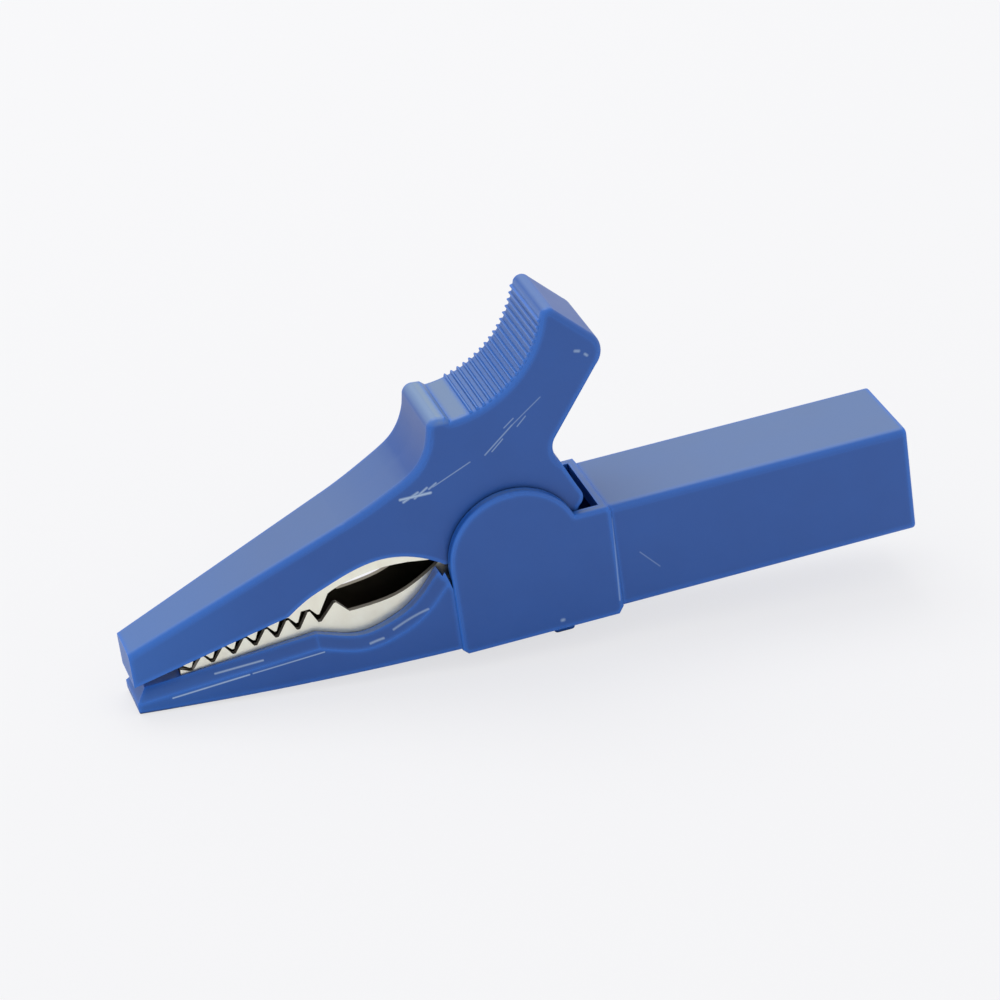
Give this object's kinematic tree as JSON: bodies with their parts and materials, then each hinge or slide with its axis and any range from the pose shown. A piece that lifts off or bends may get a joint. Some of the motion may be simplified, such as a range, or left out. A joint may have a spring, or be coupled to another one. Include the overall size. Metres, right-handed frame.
{
  "type": "crocodile clip",
  "caption": "Insulated spring-loaded crocodile clip with toothed stamped jaws, a ribbed thumb lever and a square barrel with a shrouded 4 mm plug socket.",
  "frame": {"origin": "on the barrel's axis, at the mouth of the recessed 4 mm socket tube", "axes": "+X along the barrel, out of the socket's mouth; +Y along the hinge pin; +Z from the barrel's underside to the thumb lever's side"},
  "size_m": [0.0848, 0.0126, 0.0386],
  "materials": {
    "blue_plastic": "semi-matte moulded",
    "nickel_sheet": "nickel-plated stamped sheet, satin",
    "steel": "drawn",
    "nickel_brass": "turned, nickel-plated"
  },
  "bodies": {
    "body": {"body_shell": "blue_plastic", "lower_jaw": "nickel_sheet", "pivot_pin": "steel", "torsion_spring": "steel", "socket_tube": "nickel_brass", "socket_rivet": "nickel_brass"},
    "lever": {"lever_shell": "blue_plastic", "upper_jaw": "nickel_sheet"}
  },
  "joints": [
    {"name": "jaw_open", "type": "hinge", "parent": "body", "child": "lever", "pos_m": [-0.0411, 0, 0.0035], "axis": [0, 1, 0], "range_deg": [0, 28], "stiffness_Nm_per_rad": 0.126, "springref_deg": -8.59, "deforming": ["torsion_spring"]}
  ]
}
